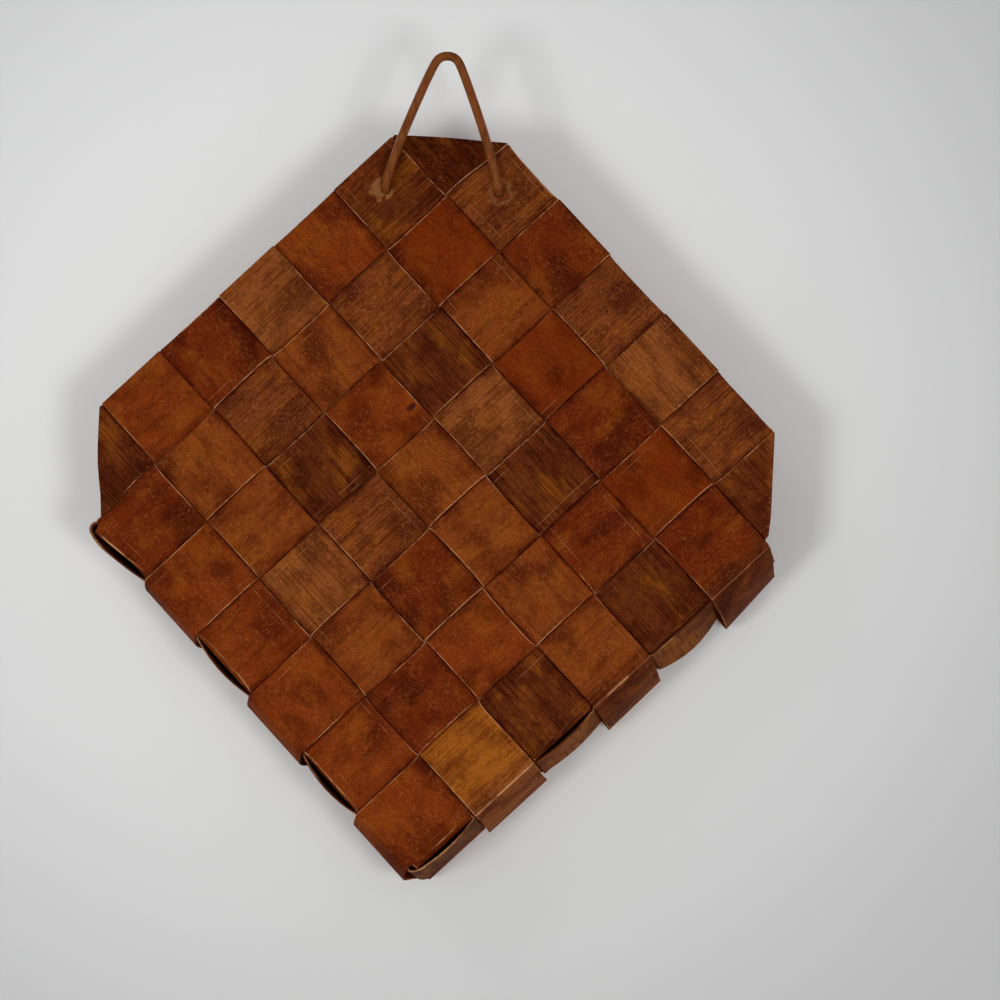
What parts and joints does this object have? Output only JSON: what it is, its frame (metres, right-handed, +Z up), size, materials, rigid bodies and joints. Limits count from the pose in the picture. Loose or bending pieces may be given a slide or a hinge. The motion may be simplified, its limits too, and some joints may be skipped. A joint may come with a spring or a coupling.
{
  "type": "birch bark wall basket",
  "caption": "Flat diamond wall basket plaited from doubled birch bark strips, with a level-rimmed pocket on its lower half and a leather loop to hang it by.",
  "frame": {"origin": "point where a hook bears on the underside of the cord's loop", "axes": "+Z up, +Y towards the pocket side of the panel, +X to the right seen from the back"},
  "size_m": [0.2431, 0.0405, 0.2952],
  "materials": {
    "bark_strip_1": "inner face of birch bark, streaked, satin",
    "bark_strip_2": "inner face of birch bark, streaked, satin",
    "bark_strip_3": "inner face of birch bark, streaked, satin",
    "bark_strip_4": "inner face of birch bark, streaked, satin",
    "bark_strip_5": "inner face of birch bark, streaked, satin",
    "bark_strip_6": "inner face of birch bark, streaked, satin",
    "bark_border": "inner face of birch bark, streaked, satin",
    "bark_band": "inner face of birch bark, streaked, satin",
    "leather_cord": "smooth, worn"
  },
  "bodies": {
    "root": {"strip_1_ply_a": "bark_strip_1", "strip_1_ply_b": "bark_strip_1", "strip_2_ply_a": "bark_strip_2", "strip_2_ply_b": "bark_strip_2", "strip_3_ply_a": "bark_strip_3", "strip_3_ply_b": "bark_strip_3", "strip_4_ply_a": "bark_strip_4", "strip_4_ply_b": "bark_strip_4", "strip_5_ply_a": "bark_strip_5", "strip_5_ply_b": "bark_strip_5", "strip_6_ply_a": "bark_strip_6", "strip_6_ply_b": "bark_strip_6", "border_strip_ply_a": "bark_border", "side_band_ply_a": "bark_band", "border_strip_ply_b": "bark_border", "side_band_ply_b": "bark_band", "hanging_cord": "leather_cord", "cord_knot_left": "leather_cord", "cord_knot_right": "leather_cord"}
  },
  "joints": []
}
